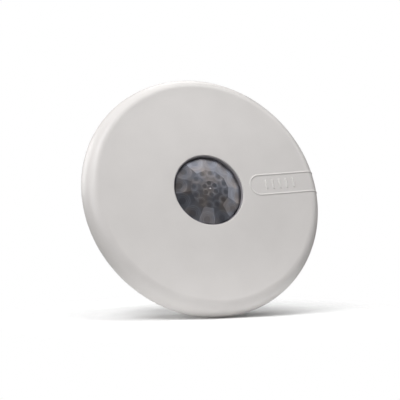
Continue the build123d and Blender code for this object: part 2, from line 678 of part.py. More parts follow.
def tamper_plunger():
    stem = disc(1.0, BOARD_TOP + 5.0, TAMPER_TOP_Z - 0.8)
    cap = disc(2.3, TAMPER_TOP_Z - 1.6, TAMPER_TOP_Z - 0.8) + disc(1.2, TAMPER_TOP_Z - 0.8, TAMPER_TOP_Z)
    cap = fillet(cap.edges().group_by(Axis.Z)[-1], 0.5)
    return Pos(*polar(TAMPER_R, TAMPER_ANGLE), 0) * (stem + cap)


def tamper_spring():
    x, y = polar(TAMPER_R, TAMPER_ANGLE)
    return coil(1.7, 0.22, BOARD_TOP + 6.65, TAMPER_TOP_Z - 1.85, 2.5, x, y)


def rear_tamper_switch():
    low = PCB_Z - REAR_TAMPER_BODY_H
    return block(*TAMPER_BODY, low, PCB_Z, *REAR_TAMPER) - disc(TAMPER_BORE_R, low, PCB_Z - 2.0, *REAR_TAMPER)


def rear_tamper_plunger():
    pin = disc(2.05, 0.0, 12.4, *REAR_TAMPER) + disc(3.0, 12.05, 12.9, *REAR_TAMPER)
    return pin + disc(0.95, 12.9, PCB_Z - 3.4, *REAR_TAMPER)


def rear_tamper_spring():
    return coil(2.0, 0.2, 13.15, PCB_Z - 4.65, 2.0, *REAR_TAMPER)


# --- Assembly -------------------------------------------------------------------------------------
def pieces():
    """Every node by name."""
    nodes = {
        "base_ring": base_ring(),
        "base_plate": base_plate(),
        "plate_screws": plate_screws(),
        "cable_grommet": cable_grommet(),
        "main_pcb": main_pcb(),
        "pcb_screws": pcb_screws(),
        "pyro_holder": pyro_holder(),
        "pyro_sensor": pyro_sensor(),
        "pyro_window": pyro_window(),
        "pyro_leads": pyro_leads(),
        "light_shield": light_shield(),
        "status_leds": status_leds(),
        "antimask_emitters": antimask_emitters(),
        "rf_shield_can": rf_shield_can(),
        "antenna_board": antenna_board(),
        "antenna_patches": antenna_patches(),
        "rf_header": rf_header(),
        "terminal_block_left": terminal_block(-TERMINAL_X),
        "terminal_block_right": terminal_block(TERMINAL_X),
        "terminal_screws": terminal_screws(),
        "wire_clamps": wire_clamps(),
        "relays": relays(),
        "dip_switch_body": dip_switch_body(),
        "trimmer_bodies": trimmer_bodies(),
        "microcontroller": microcontroller(),
        "amplifier_chip": amplifier_chip(),
        "capacitors": capacitors(),
        "inductor": inductor(),
        "crystal_can": crystal_can(),
        "chip_parts": chip_parts(),
        "tamper_switch": tamper_switch(),
        "tamper_plunger": tamper_plunger(),
        "tamper_spring": tamper_spring(),
        "rear_tamper_switch": rear_tamper_switch(),
        "rear_tamper_plunger": rear_tamper_plunger(),
        "rear_tamper_spring": rear_tamper_spring(),
        "front_cover": front_cover(),
        "fresnel_lens": fresnel_lens(),
        "lens_bezel": lens_bezel(),
        "lens_gasket": lens_gasket(),
        "lens_retainer": lens_retainer(),
        "retainer_screws": retainer_screws(),
        "cover_seal": cover_seal(),
        "lock_screw": lock_screw(),
        "lock_tip": lock_tip(),
    }
    for index, y in enumerate(row_places(DIP_COUNT, DIP_PITCH), start=1):
        nodes[f"dip_slider_{index}"] = dip_slider(y)
    for name, (x, y) in TRIMMER_SPOTS.items():
        nodes[name] = trimmer_rotor(x, y)
    return nodes


def write_parts():
    os.makedirs("parts", exist_ok=True)
    upright = Rot(90, 0, 0)
    for name, shape in pieces().items():
        group = shape if isinstance(shape, list) else [shape]
        solids = [solid for piece in group for solid in (upright * piece).solids()]
        export_step(Compound(children=solids) if len(solids) > 1 else solids[0], f"parts/{name}.step")


write_parts()
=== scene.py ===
import math

import bmesh
import bpy
import numpy as np
from mathutils import Matrix, Vector


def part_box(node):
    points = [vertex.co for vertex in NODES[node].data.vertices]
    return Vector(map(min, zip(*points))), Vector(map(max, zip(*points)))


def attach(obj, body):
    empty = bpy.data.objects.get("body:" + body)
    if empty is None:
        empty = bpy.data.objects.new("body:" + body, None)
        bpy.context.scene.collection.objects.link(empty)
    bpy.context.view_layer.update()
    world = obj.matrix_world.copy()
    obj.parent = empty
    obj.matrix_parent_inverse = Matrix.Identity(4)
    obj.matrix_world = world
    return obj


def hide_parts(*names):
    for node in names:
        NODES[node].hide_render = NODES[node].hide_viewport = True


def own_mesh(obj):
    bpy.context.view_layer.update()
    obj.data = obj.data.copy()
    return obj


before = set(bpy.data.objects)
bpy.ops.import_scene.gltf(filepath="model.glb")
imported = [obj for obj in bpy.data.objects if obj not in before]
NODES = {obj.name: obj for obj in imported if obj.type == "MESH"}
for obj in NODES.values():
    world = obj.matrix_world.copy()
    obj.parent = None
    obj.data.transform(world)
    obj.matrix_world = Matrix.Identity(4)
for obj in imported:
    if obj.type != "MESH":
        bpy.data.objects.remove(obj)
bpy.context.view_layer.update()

# Shapes are in millimetres of the device's own axes until a mesh is made: X towards the tongue, Y up the face
# and Z out of the face, with z = 0 on the mounting face. The row frame holds (x, -z, y) in metres. The
# camera, the ground and the panels are in the row frame.
MM = 0.001
WAVE_PERIOD = 0.314            # distance between the bands of a wave texture whose scale is 1

# --- Camera: a long lens a metre away, below the device's axis, tilted clockwise ---
CAMERA_AZIMUTH = -24.026
CAMERA_ELEVATION = -16.012
CAMERA_ROLL = 12.769
CAMERA_DISTANCE = 997.34 * MM
CAMERA_TARGET = Vector((-4.221, -37.0, -3.667)) * MM
LENS_MM = 151.58

# --- Ground: a plane that touches the back rim, below the device as the camera sees it ---
GROUND_NORMAL = Vector((0.078629, -0.366135, 0.927234))
GROUND_OFFSET = -58.452 * MM
GROUND_CLEAR, GROUND_GONE = 0.05, 0.14     # distances from the contact point between which it fades out
GROUND_HALF = 1.0

# --- Soft panels round the device: name, azimuth and elevation about the camera's axes, watts ---
# The watts began as a fit of trial renders to the photo's brightness, and were rounded and changed.
PANEL_SIZE = 0.5
PANEL_DISTANCE = 1.0
PANELS = (
    ("overhead", 0, 90, 2.0),
    ("right_top", 75, 72, 1.6),
    ("front_left_high", 315, 52, 5.8),
    ("front_right_high", 45, 52, 0.8),
    ("right_high", 90, 52, 1.0),
    ("back_left_high", 225, 52, 0.5),
    ("back_high", 180, 52, 2.0),
    ("back_right", 105, 35, 1.3),
    ("right_low", 90, 18, 1.1),
    ("front_right_low", 30, 18, 0.3),
    ("front_left_low", 330, 18, 1.2),
    ("left_low", 300, 18, 3.3),
    ("back_left_low", 240, 18, 3.2),
    ("right_level", 80, 3, 0.4),
    ("front_right_below", 35, -8, 1.0),
)

# --- Cover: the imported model's sizes, but for a lower, softer bead and rounded ribs ---
COVER_R = 74.5
RIM_Z = 29.7
SKIRT_TOP_Z = 30.3
SHOULDER_W = 8.0
SHOULDER_H = 10.9
SHOULDER_R = COVER_R - SHOULDER_W
SHOULDER_TOP_Z = SKIRT_TOP_Z + SHOULDER_H
HOLE_PLANE_Z = 43.5
HOLE_R = 21.8
LIP = 0.4                      # rounding of the lens hole's edge
RIM_ROUND = 0.25               # rounding of the back rim's outer edge
RIM_INNER_R = 72.3
FACE_RISE = HOLE_PLANE_Z - SHOULDER_TOP_Z
FACE_KNOTS = ((SHOULDER_R, SHOULDER_TOP_Z), (47.0, SHOULDER_TOP_Z + 0.45 * FACE_RISE),
              (31.0, SHOULDER_TOP_Z + 0.88 * FACE_RISE), (HOLE_R, HOLE_PLANE_Z))
FACE_ENDS = ((-1.0, 0.02), (-1.0, 0.0))
TONGUE_HALF_W = 6.2
TONGUE_START_X = 27.2
BEAD_H = 0.3
BEAD_SPREAD = 0.8              # from the bead's crest to its foot
RIB_COUNT = 5
RIB_FIRST_X = 38.0
RIB_PITCH = 4.6
RIB_CORE = (0.15, 2.5)         # half width and half length of a rib's flat top
RIB_SPREAD = 0.65
RIB_H = 0.36
LOCK_ANGLE = 40.0
LOCK_Z = 34.6
LOCK_HOLE_R = 1.55
LOCK_PATCH = (3.2, 2.6)        # half height, and half width in degrees, of the patch round its hole

# --- Grid of the cover's skin: first, end and step over the tongue's tip, its plain part and its ribs ---
TIP_ROWS = (26.4, 34.5, 0.2)
PLAIN_ROWS = (34.7, 36.8, 0.4)
RIB_ROWS = (37.0, 58.2, 0.2)
EDGE_ROWS = 5                  # on the back rim's rounding
TONGUE_COLUMNS = (-12.48, 12.5, 0.16)      # first angle, end and step over the tongue
WIDE_STEP = 2                  # degrees between the other columns

# --- Lens: an outer row of facets, a flatter inner row and a cap, by the (radius, height) of their edges ---
# Its foot is 0.6 larger in radius and 0.5 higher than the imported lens's, to leave a narrower gap round it.
FACETS = 12
LENS_SEAT = (20.5, 41.0)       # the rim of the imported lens's body
LENS_BASE = (21.1, 41.5)
LENS_MID = (12.0, 44.7)
LENS_CAP = (5.0, 45.7)
LENS_TIP = (0.06, 45.7)
LENS_ROWS = (                  # lower edge, upper edge, rows and columns of points, pattern of the outer row
    (LENS_SEAT, LENS_BASE, 2, 66, True),
    (LENS_BASE, LENS_MID, 60, 66, True),
    (LENS_MID, LENS_CAP, 46, 44, False),
    (LENS_CAP, LENS_TIP, 30, 24, False),
)
DOT_R = 0.55
DOT_H = 0.1
DOT_SINK = 0.02
OUTER_LENS = (18.4, (2.4, 3.4, 4.4))     # centre's radius, and the radii of its disc and rings
INNER_LENS = (10.1, (2.5, 1.7))
CAP_LENS = (3.7, (1.7,))
GROOVE_D = 0.05
GROOVE_SPREAD = 0.15
WEB_R = 6.0                    # reach of the web between the cap's six petals
WEB_LEVEL, WEB_SPREAD = 0.5, 0.2
DISC_EDGE = 0.3
FADE_ALONG, FADE_ACROSS = 0.03, 0.04     # shares of a facet over which its grooves fade at its borders
# Lens tones: plain, small lenses' discs, painted glint along the grooves, and the middle dot
TONE_PLAIN, TONE_DISC, TONE_PAINTED_GLINT, TONE_DOT = 0.5, 0.42, 0.68, 0.95
BEZEL_TOP_Z = 43.0

# --- Board ---
BOARD_TOP = -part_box("main_pcb")[0].y / MM
TRACK_T = 0.04
PAD_T = 0.1
VIA_R = (0.42, 0.2)            # outside and hole
ROUTES = (                     # tracks in each bundle, their width and pitch, and the bundle's corners
    (5, 0.3, 0.75, ((-17.5, -12.0), (-17.5, 13.0), (-9.0, 21.0))),
    (3, 0.3, 0.75, ((-12.4, -22.4), (3.0, -22.4), (6.5, -22.4))),
    (2, 0.3, 0.75, ((-12.4, -18.6), (-7.3, -18.6))),
    (4, 0.3, 0.75, ((18.0, -15.2), (18.0, -12.5), (10.0, -4.5))),
    (6, 0.3, 0.75, ((28.0, -1.0), (23.5, -1.0), (19.0, -5.5), (12.0, -5.5))),
    (2, 0.3, 0.75, ((24.8, -17.0), (27.6, -17.0))),
    (3, 1.1, 2.6, ((-32.0, -25.0), (-32.0, -17.0), (-34.0, -12.0))),
    (2, 1.1, 2.6, ((-31.0, 11.8), (-31.0, 14.0), (-27.5, 17.5))),
    (4, 0.3, 0.75, ((31.0, 19.6), (31.0, 22.0), (22.5, 30.5), (17.2, 30.5))),
    (3, 0.4, 0.9, ((-33.0, 24.5), (-28.0, 29.5), (-17.2, 29.5))),
    (2, 0.3, 0.75, ((31.0, -19.5), (34.5, -23.0), (37.0, -23.0))),
    (4, 0.3, 0.75, ((38.2, 1.0), (42.5, 1.0), (44.6, -1.1), (44.6, -8.0))),
    (3, 0.3, 0.75, ((21.5, 14.8), (21.5, 18.0), (17.8, 21.8), (8.0, 21.8))),
    (2, 0.5, 1.2, ((-13.5, -12.2), (-13.5, -8.0), (-11.0, -5.5))),
)
PRINT_T = 0.06
PRINT_W = 0.2
PRINT_GAP = 0.55
PIN_DOT = (0.7, 0.4, 0.3)      # outside the box's side, inside its top, radius
EDGE_PRINT_R = 50.6
EDGE_PRINT_STEP, EDGE_PRINT_SPAN = 30, 22      # degrees

# --- Small parts on the board ---
CHIP_BODY, CHIP_END, CHIP_PAD = (1.4, 1.2), (0.36, 1.25), (0.95, 1.5)
CHIP_GAP = 0.08                # under a chip's body
CHIP_END_X, CHIP_PAD_X = 0.82, 1.05
CHIP_H, CHIP_H_STEP = 0.5, 0.06
CAN_PAD, CAN_PAD_T = (1.2, 2.6), 0.25
CAN_PAD_PITCH = (11, 7)
SWITCH_PAD, SWITCH_PAD_X = (1.6, 1.1), 5.5
SWITCH_ROWS, SWITCH_PITCH = 6, 2.54
TRIMMER_PAD = (1.3, 1.3)
TRIMMER_LEGS = ((-2.5, -3.7), (2.5, -3.7), (0, 3.7))
LEG_PAD_T = 0.3
WIRE = 0.14                    # radius of the springs' and the winding's wire
WINDING_R, WINDING_TURNS = 3.05, 9
WINDING_Z = (1.45, 3.35)       # above the board
FLAT_TURN = 0.7                # part of a coil's turn that lies flat at each end
BODY_HALF = {"microcontroller": (5.0, 5.0), "amplifier_chip": (5.0, 2.0)}      # without the leads


# --- Small tools ---
def to_row(points):
    """Device millimetres to row-frame metres."""
    points = np.asarray(points, float)
    return np.stack([points[..., 0], -points[..., 2], points[..., 1]], axis=-1) * MM


def to_device(points):
    """Row-frame metres to device millimetres."""
    return np.stack([points[..., 0], points[..., 2], -points[..., 1]], axis=-1) / MM


def unit(vectors):
    """Vectors of length one."""
    return vectors / np.maximum(np.linalg.norm(vectors, axis=-1, keepdims=True), 1e-12)


def bump(distance, spread):
    """A soft ridge: 1 at distance 0, 0 from spread on."""
    return 0.5 + 0.5 * np.cos(np.pi * np.clip(np.abs(distance) / spread, 0, 1))


def arc(centre, radius, start, end, steps):
    """Points of an arc in the section plane, angles in degrees from the radius axis."""
    turn = np.radians(np.linspace(start, end, steps))
    return np.stack([centre[0] + radius * np.cos(turn), centre[1] + radius * np.sin(turn)], axis=1)


def turned(radius, turn, height):
    """Points at a radius, an angle in radians and a height."""
    return np.stack(np.broadcast_arrays(radius * np.cos(turn), radius * np.sin(turn), height), axis=-1)


def grid_normals(points, wrap=False):
    """Normals of a grid of points by central differences, rows first."""
    rows = np.concatenate([points[:1], points, points[-1:]])
    down = rows[2:] - rows[:-2]
    if wrap:
        across = np.roll(points, -1, axis=1) - np.roll(points, 1, axis=1)
    else:
        columns = np.concatenate([points[:, :1], points, points[:, -1:]], axis=1)
        across = columns[:, 2:] - columns[:, :-2]
    return unit(np.cross(down, across))


def grid_quads(rows, columns, wrap=False):
    """Quads of a grid of points numbered row by row, facing the side of grid_normals."""
    row, column = np.meshgrid(np.arange(rows - 1), np.arange(columns if wrap else columns - 1), indexing="ij")
    after = (column + 1) % columns
    above, below = row * columns, (row + 1) * columns
    return np.stack([above + column, below + column, below + after, above + after], axis=-1)


def cad_mesh(node):
    """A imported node's points in device millimetres, its vertex normals and its triangles."""
    mesh = NODES[node].data
    points = np.empty(len(mesh.vertices) * 3)
    mesh.vertices.foreach_get("co", points)
    corners = np.empty(len(mesh.loops), int)
    mesh.loops.foreach_get("vertex_index", corners)
    directions = np.empty(len(mesh.loops) * 3)
    mesh.corner_normals.foreach_get("vector", directions)
    normals = np.zeros((len(mesh.vertices), 3))
    normals[corners] = directions.reshape(-1, 3)
    return to_device(points.reshape(-1, 3)), to_device(normals) * MM, corners.reshape(-1, 3)


def add_object(name, groups, material, values=None):
    """One smooth object from groups of (points, normals, faces) in device millimetres."""
    points = np.concatenate([group[0].reshape(-1, 3) for group in groups])
    normals = np.concatenate([group[1].reshape(-1, 3) for group in groups])
    faces, first = [], 0
    for corners, _, sides in groups:
        faces += (sides + first).reshape(-1, sides.shape[-1]).tolist()
        first += corners.size // 3
    mesh = bpy.data.meshes.new(name)
    mesh.from_pydata(to_row(points), [], faces)
    mesh.polygons.foreach_set("use_smooth", [True] * len(faces))
    mesh.normals_split_custom_set_from_vertices(to_row(normals) / MM)
    mesh.materials.append(material)
    if values is not None:
        layer = mesh.attributes.new("tone", "FLOAT", "POINT")
        layer.data.foreach_set("value", np.concatenate([np.ravel(part) for part in values]))
    return link_object(name, mesh)


def link_object(name, mesh):
    made = bpy.data.objects.new(name, mesh)
    bpy.context.scene.collection.objects.link(made)
    return made


def add_plates(name, plates, materials, picks=None):
    """One flat-sided object from plates of (points, faces); picks holds each plate's material index."""
    builder = bmesh.new()
    for index, (points, faces) in enumerate(plates):
        corners = [builder.verts.new(point) for point in to_row(points)]
        for face in faces:
            made = builder.faces.new([corners[i] for i in face])
            made.material_index = picks[index] if picks else 0
    bmesh.ops.recalc_face_normals(builder, faces=builder.faces)
    mesh = bpy.data.meshes.new(name)
    builder.to_mesh(mesh)
    builder.free()
    for material in materials:
        mesh.materials.append(material)
    return link_object(name, mesh)


def slab(outline, low, high):
    """A plate on a closed outline of (x, y) points."""
    count = len(outline)
    points = [(x, y, z) for z in (low, high) for x, y in outline]
    sides = [(i, (i + 1) % count, count + (i + 1) % count, count + i) for i in range(count)]
    return points, sides + [tuple(range(count)), tuple(range(count, 2 * count))]


def hoop(outer, inner, low, high):
    """A plate between two outlines with equal numbers of points."""
    count = len(outer)
    points = [(x, y, z) for outline in (outer, inner) for z in (low, high) for x, y in outline]
    loops = [(0, 1), (1, 3), (3, 2), (2, 0)]
    faces = []
    for i in range(count):
        after = (i + 1) % count
        faces += [(a * count + i, a * count + after, b * count + after, b * count + i) for a, b in loops]
    return points, faces


def track(path, width, low, high):
    """A strip along a path of (x, y) points, with mitred corners."""
    left, right = beside(path, width / 2), beside(path, -width / 2)
    return slab(list(left) + list(right)[::-1], low, high)


def beside(path, distance):
    """A path moved sideways by a distance."""
    path = np.asarray(path, float)
    steps = unit(np.diff(path, axis=0))
    sides = np.stack([-steps[:, 1], steps[:, 0]], axis=1)
    before, after = np.concatenate([sides[:1], sides]), np.concatenate([sides, sides[-1:]])
    corner = unit(before + after)
    return path + corner * (distance / np.sum(corner * before, axis=1))[:, None]


def circle(x, y, radius, count):
    turns = [math.tau * i / count for i in range(count)]
    return [(x + radius * math.cos(turn), y + radius * math.sin(turn)) for turn in turns]


def rectangle(x, y, width, height, degrees=0.0):
    cos, sin = math.cos(math.radians(degrees)), math.sin(math.radians(degrees))
    corners = [(a * width / 2, b * height / 2) for a, b in ((-1, -1), (1, -1), (1, 1), (-1, 1))]
    return [(x + a * cos - b * sin, y + a * sin + b * cos) for a, b in corners]


def tube(path, radius, sides=10):
    """A round wire along a path that never runs straight up, closed at both ends."""
    path = np.asarray(path, float)
    along = unit(np.gradient(path, axis=0))
    side = unit(np.cross(along, (0, 0, 1)))
    up = np.cross(side, along)
    turn = np.linspace(0, math.tau, sides, endpoint=False)[None, :, None]
    normals = side[:, None] * np.cos(turn) + up[:, None] * np.sin(turn)
    radii = np.full((len(path), 1, 1), radius)
    radii[[0, -1]] = 0
    path = np.concatenate([path[:1], path[:1], path[1:-1], path[-1:], path[-1:]])
    radii = np.concatenate([radii[:1], [[[radius]]], radii[1:-1], [[[radius]]], radii[-1:]])
    normals = np.concatenate([normals[:1], normals[:1], normals[1:-1], normals[-1:], normals[-1:]])
    points = path[:, None] + normals * radii
    return points, normals, grid_quads(len(path), sides, wrap=True)


def solids(node):
    """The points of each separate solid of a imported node, in device millimetres."""
    points, _, faces = cad_mesh(node)
    keys = np.unique(np.round(points, 3), axis=0, return_inverse=True)[1].ravel()
    label, corners = np.arange(keys.max() + 1), keys[faces]
    changed = True
    while changed:
        lowest, fresh = label[corners].min(axis=1), label.copy()
        for side in range(3):
            np.minimum.at(fresh, corners[:, side], lowest)
        changed = bool((fresh != label).any())
        label = fresh
    return [points[label[keys] == name] for name in np.unique(label)]


def middle(points):
    return (points.min(axis=0) + points.max(axis=0)) / 2


def repaint(node, material, chosen):
    """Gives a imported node's faces another material where chosen(at, normals) is true, at their centres."""
    points, _, faces = cad_mesh(node)
    a, b, c = (points[faces[:, i]] for i in range(3))
    picked = chosen((a + b + c) / 3, unit(np.cross(b - a, c - a)))
    mesh = NODES[node].data
    mesh.materials.append(material)
    mesh.polygons.foreach_set("material_index", np.where(picked, len(mesh.materials) - 1, 0))
    mesh.update()


# --- Materials ---
def principled(name, colour, roughness, **sockets):
    """A material whose shader's own sockets hold the given values."""
    material = bpy.data.materials.new(name)
    material.use_nodes = True
    shader = material.node_tree.nodes["Principled BSDF"]
    shader.inputs["Base Color"].default_value = (*colour, 1)
    shader.inputs["Roughness"].default_value = roughness
    for key, value in sockets.items():
        shader.inputs[key.replace("_", " ")].default_value = value
    return material


def texture(material, kind, scale):
    """A texture node fixed to the object."""
    nodes = material.node_tree.nodes
    place, made = nodes.new("ShaderNodeTexCoord"), nodes.new(kind)
    made.inputs["Scale"].default_value = scale
    material.node_tree.links.new(place.outputs["Object"], made.inputs["Vector"])
    return made


def noise(material, size, detail=3.0):
    """Noise with features of the given size in millimetres."""
    made = texture(material, "ShaderNodeTexNoise", 1 / (size * MM))
    made.inputs["Detail"].default_value = detail
    return made.outputs["Fac"]


def cells(material, size):
    """Cells of the given size in millimetres."""
    return texture(material, "ShaderNodeTexVoronoi", 1 / (size * MM)).outputs["Distance"]


def weave(material, pitch):
    """Crossing glass-fibre threads in the plane of the board, at a pitch in millimetres."""
    nodes, links = material.node_tree.nodes, material.node_tree.links
    both = nodes.new("ShaderNodeMath")
    both.operation = "MAXIMUM"
    for index, direction in enumerate("XZ"):
        wave = texture(material, "ShaderNodeTexWave", WAVE_PERIOD / (pitch * MM))
        wave.bands_direction = direction
        wave.inputs["Distortion"].default_value = 0.4
        links.new(wave.outputs["Fac"], both.inputs[index])
    return both.outputs[0]


def add_relief(material, height, depth, edge=0.12):
    """Raises the surface by a height texture and softens sharp edges; depth and edge are in millimetres."""
    nodes, links = material.node_tree.nodes, material.node_tree.links
    relief = nodes.new("ShaderNodeBump")
    relief.inputs["Strength"].default_value = 1.0
    relief.inputs["Distance"].default_value = depth * MM
    links.new(height, relief.inputs["Height"])
    soft = nodes.new("ShaderNodeBevel")
    soft.samples = 4
    soft.inputs["Radius"].default_value = edge * MM
    links.new(soft.outputs["Normal"], relief.inputs["Normal"])
    links.new(relief.outputs["Normal"], nodes["Principled BSDF"].inputs["Normal"])


def add_range(material, factor, socket, low, high):
    """Drives a number socket between two values."""
    nodes, links = material.node_tree.nodes, material.node_tree.links
    spread = nodes.new("ShaderNodeMapRange")
    spread.inputs["From Min"].default_value = 0.3
    spread.inputs["From Max"].default_value = 0.7
    spread.inputs["To Min"].default_value = low
    spread.inputs["To Max"].default_value = high
    links.new(factor, spread.inputs["Value"])
    links.new(spread.outputs["Result"], nodes["Principled BSDF"].inputs[socket])


def ramp(material, factor, stops):
    """The colour that a ramp with the given (position, colour) stops has at a factor."""
    made = material.node_tree.nodes.new("ShaderNodeValToRGB")
    elements = made.color_ramp.elements
    for index in (0, -1):
        elements[index].position = stops[index][0]
        elements[index].color = (*stops[index][1], 1)
    for position, colour in stops[1:-1]:
        elements.new(position).color = (*colour, 1)
    material.node_tree.links.new(factor, made.inputs["Fac"])
    return made.outputs["Color"]


def add_tint(material, factor, low, high):
    """Mixes the base colour between two colours."""
    shader = material.node_tree.nodes["Principled BSDF"]
    colour = ramp(material, factor, ((0.3, low), (0.7, high)))
    material.node_tree.links.new(colour, shader.inputs["Base Color"])


def shade(colour, factor):
    return tuple(channel * factor for channel in colour)


def moulded(name, colour, roughness, grain, depth, **sockets):
    """Moulded plastic: a fine spark-eroded grain and faint flow patches."""
    material = principled(name, colour, roughness, **sockets)
    add_relief(material, noise(material, grain), depth)
    patches = noise(material, 60 * grain, 2.0)
    add_tint(material, patches, shade(colour, 0.985), shade(colour, 1.015))
    add_range(material, patches, "Roughness", roughness - 0.03, roughness + 0.03)
    return material


def metal(name, colour, roughness, grain, depth, **sockets):
    """Bare metal: fine scratches or spangle, duller in patches."""
    material = principled(name, colour, roughness, Metallic=1.0, **sockets)
    add_relief(material, noise(material, grain), depth, 0.08)
    patches = noise(material, 20 * grain, 4.0)
    add_tint(material, patches, shade(colour, 0.86), shade(colour, 1.06))
    add_range(material, patches, "Roughness", roughness * 0.75, roughness * 1.3)
    return material


def spangled(name, colour, roughness):
    """Tin plate with a faint crystal pattern."""
    material = metal(name, colour, roughness, 0.3, 0.002)
    add_range(material, cells(material, 2.2), "Roughness", roughness * 0.6, roughness * 1.4)
    return material


def foam(name, colour):
    """Open-cell foam, with painted shade in its pores and its cell walls painted lighter."""
    material = principled(name, colour, 0.95, Sheen_Weight=0.3)
    pores = cells(material, 0.45)
    add_relief(material, pores, 0.25)
    # Dark in the pores and light on the cell walls: painted shade and painted light.
    add_tint(material, pores, shade(colour, 0.35), shade(colour, 1.3))
    return material


def woven(name, colour, roughness, depth):
    """Board laminate: glass weave showing faintly through a glossy mask."""
    material = principled(name, colour, roughness, Coat_Weight=0.5, Coat_Roughness=0.12)
    threads = weave(material, 0.55)
    add_relief(material, threads, depth, 0.08)
    add_tint(material, threads, shade(colour, 0.86), shade(colour, 1.1))
    return material


def resin(name, colour, **sockets):
    """Clear coloured resin of a lamp."""
    material = principled(name, colour, 0.12, IOR=1.55, Coat_Weight=0.6, Coat_Roughness=0.05, **sockets)
    patches = noise(material, 1.2, 2.0)
    add_relief(material, patches, 0.01)
    add_tint(material, patches, shade(colour, 0.8), shade(colour, 1.15))
    return material


def marked_plastic(name, colour, roughness, mark):
    """Matt moulded plastic with a faint speckle of filler."""
    material = moulded(name, colour, roughness, 0.3, 0.006)
    add_tint(material, noise(material, 0.5, 4.0), shade(colour, 0.9), mark)
    return material


def material_library():
    """One material for each of the record's slots, by name."""
    made = (
        moulded("cover_shell", (0.635, 0.613, 0.599), 0.4, 0.25, 0.004),
        moulded("base_shell", (0.6, 0.582, 0.565), 0.46, 0.3, 0.008),
        lens_material(),
        moulded("black_plastic", (0.05, 0.05, 0.055), 0.42, 0.25, 0.003),
        moulded("grey_plastic", (0.2, 0.205, 0.21), 0.5, 0.3, 0.008),
        moulded("dark_rubber", (0.028, 0.028, 0.03), 0.68, 0.4, 0.02, Sheen_Weight=0.25),
        foam("foam", (0.045, 0.045, 0.05)),
        woven("circuit_board", (0.012, 0.11, 0.042), 0.32, 0.006),
        woven("antenna_laminate", (0.68, 0.64, 0.5), 0.45, 0.008),
        metal("copper_gold", (0.93, 0.66, 0.3), 0.24, 0.15, 0.003),
        metal("steel", (0.6, 0.595, 0.585), 0.3, 0.12, 0.006),
        spangled("tinned_can", (0.76, 0.755, 0.74), 0.34),
        metal("nickel_can", (0.7, 0.68, 0.64), 0.22, 0.4, 0.004),
        resin("infrared_window", (0.03, 0.022, 0.035)),
        marked_plastic("terminal_green", (0.03, 0.3, 0.11), 0.45, (0.045, 0.36, 0.14)),
        marked_plastic("relay_yellow", (0.78, 0.42, 0.035), 0.42, (0.84, 0.5, 0.06)),
        marked_plastic("switch_blue", (0.02, 0.09, 0.36), 0.4, (0.03, 0.13, 0.44)),
        moulded("white_plastic", (0.78, 0.77, 0.74), 0.4, 0.25, 0.006),
        moulded("nylon", (0.72, 0.68, 0.58), 0.5, 0.3, 0.008, Subsurface_Weight=0.2),
        resin("lamp_red", (0.55, 0.015, 0.012), Transmission_Weight=0.35),
        resin("lamp_dark", (0.035, 0.03, 0.05), Transmission_Weight=0.2),
        moulded("capacitor_sleeve", (0.022, 0.028, 0.05), 0.35, 0.5, 0.008),
        marked_plastic("chip_black", (0.03, 0.03, 0.032), 0.55, (0.05, 0.05, 0.052)),
        marked_plastic("chip_ceramic", (0.42, 0.27, 0.15), 0.5, (0.5, 0.34, 0.2)),
    )
    return {slot_name(material): material for material in made}


def slot_name(material):
    """A material's name without the number that Blender adds to a name already taken."""
    return material.name.split(".")[0]


def finish_nodes(library):
    """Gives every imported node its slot's material."""
    for node in NODES.values():
        for index, material in enumerate(node.data.materials):
            node.data.materials[index] = library[slot_name(material)]


# --- Cover ---
def face_line(steps=200):
    """The face's section: a smooth curve through its knots with set directions at both ends."""
    knots = np.array(FACE_KNOTS)
    gaps = np.linalg.norm(np.diff(knots, axis=0), axis=1)
    count = len(knots)
    system, wanted = np.eye(count), np.zeros((count, 2))
    wanted[0], wanted[-1] = unit(np.array(FACE_ENDS))
    for i in range(1, count - 1):
        before, after = gaps[i - 1], gaps[i]
        system[i, i - 1:i + 2] = 1 / before, 2 / before + 2 / after, 1 / after
        rises = (knots[i] - knots[i - 1]) / before ** 2 + (knots[i + 1] - knots[i]) / after ** 2
        wanted[i] = 3 * rises
    slopes = np.linalg.solve(system, wanted)
    spans = []
    for i, gap in enumerate(gaps):
        t = np.linspace(0, 1, steps)[:, None]
        start = (2 * t ** 3 - 3 * t ** 2 + 1) * knots[i] + (t ** 3 - 2 * t ** 2 + t) * gap * slopes[i]
        end = (3 * t ** 2 - 2 * t ** 3) * knots[i + 1] + (t ** 3 - t ** 2) * gap * slopes[i + 1]
        spans.append(start + end)
    return np.concatenate(spans)[::-1]


def face_z(radius):
    """Height of the face at a radius."""
    line = face_line()
    return np.interp(radius, line[:, 0], line[:, 1])


def shoulder_r(height):
    """Radius of the shoulder at a height."""
    return SHOULDER_R + SHOULDER_W * np.sqrt(1 - ((height - SKIRT_TOP_Z) / SHOULDER_H) ** 2)


def skin_section():
    """The outer skin's section from the lens hole to the back rim, finest where the tongue lies."""
    lip = arc((HOLE_R + LIP, HOLE_PLANE_Z - LIP), LIP, 180, 90, 6)
    near = np.linspace(HOLE_R + LIP + 0.3, TIP_ROWS[0] - 0.2, 7)
    outer = np.linspace(RIB_ROWS[1] + 0.4, SHOULDER_R, 14)
    close = [np.arange(*rows) for rows in (TIP_ROWS, PLAIN_ROWS, RIB_ROWS)]
    radii = np.concatenate([near, *close, outer])
    face = np.stack([radii, face_z(radii)], axis=1)
    turn = np.radians(np.linspace(90, 0, 37)[1:])
    radius, height = SHOULDER_R + SHOULDER_W * np.cos(turn), SKIRT_TOP_Z + SHOULDER_H * np.sin(turn)
    shoulder = np.stack([radius, height], axis=1)
    edge = arc((COVER_R - RIM_ROUND, RIM_Z + RIM_ROUND), RIM_ROUND, 0, -90, EDGE_ROWS)
    return np.concatenate([lip, face, shoulder, edge, [(RIM_INNER_R, RIM_Z)]])


